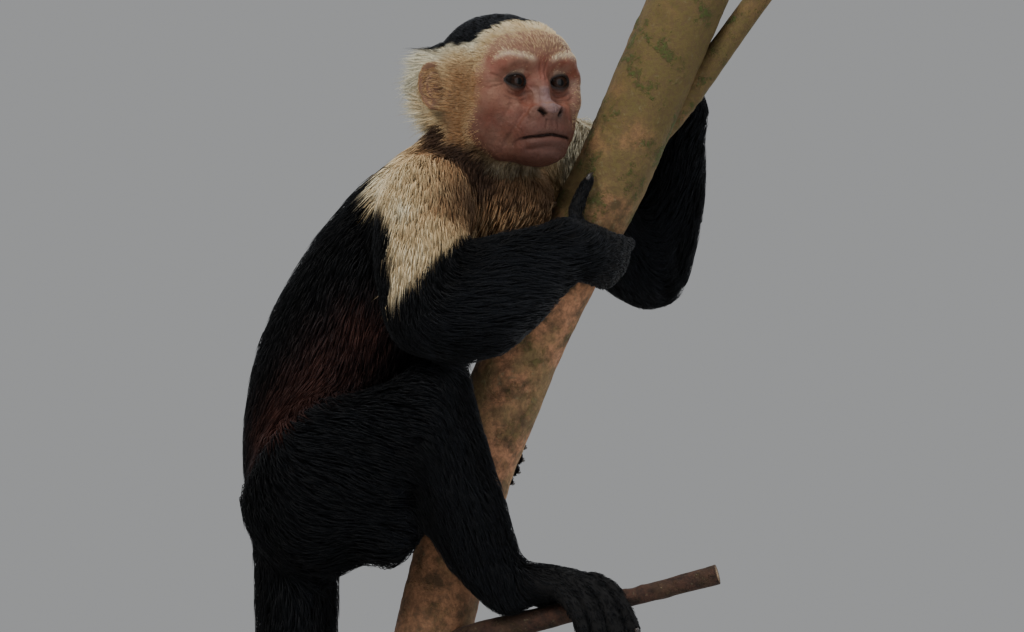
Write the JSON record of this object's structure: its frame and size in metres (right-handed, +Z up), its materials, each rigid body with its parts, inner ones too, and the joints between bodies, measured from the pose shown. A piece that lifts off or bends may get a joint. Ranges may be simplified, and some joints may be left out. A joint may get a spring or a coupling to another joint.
{
  "type": "capuchin monkey figure",
  "caption": "Life-size white-faced capuchin monkey clinging to a leaning branch, tail wrapped round it, on a plain display stand.",
  "frame": {"origin": "on the underside of the stand's base, under the middle of the rod", "axes": "+Z up; +X the way the animal's body faces, along its lean towards the branch; -Y the animal's right side, which the camera sees"},
  "size_m": [0.3821, 0.23, 0.6492],
  "materials": {
    "dark_coat": "long black fur with a faint blue sheen",
    "pale_coat": "soft cream fur",
    "bare_skin": "bare reddish brown skin",
    "eye": "wet dark brown",
    "bark": "thin mottled bark",
    "stand_paint": "satin dark grey paint"
  },
  "bodies": {
    "root": {"head": "pale_coat", "neck": "pale_coat", "upper_arm_R": "pale_coat", "upper_arm_L": "pale_coat", "trunk": "dark_coat", "forearm_R": "dark_coat", "forearm_L": "dark_coat", "hand_R": "dark_coat", "hand_L": "dark_coat", "thigh_R": "dark_coat", "thigh_L": "dark_coat", "shank_R": "dark_coat", "shank_L": "dark_coat", "foot_R": "dark_coat", "foot_L": "dark_coat", "tail_1": "dark_coat", "tail_2": "dark_coat", "tail_3": "dark_coat", "tail_4": "dark_coat", "ear_R": "bare_skin", "ear_L": "bare_skin", "eye_R": "eye", "eye_L": "eye", "perch_branch": "bark", "perch_fork": "bark", "perch_twig": "bark", "stand_base": "stand_paint", "stand_rod": "stand_paint"}
  },
  "joints": []
}
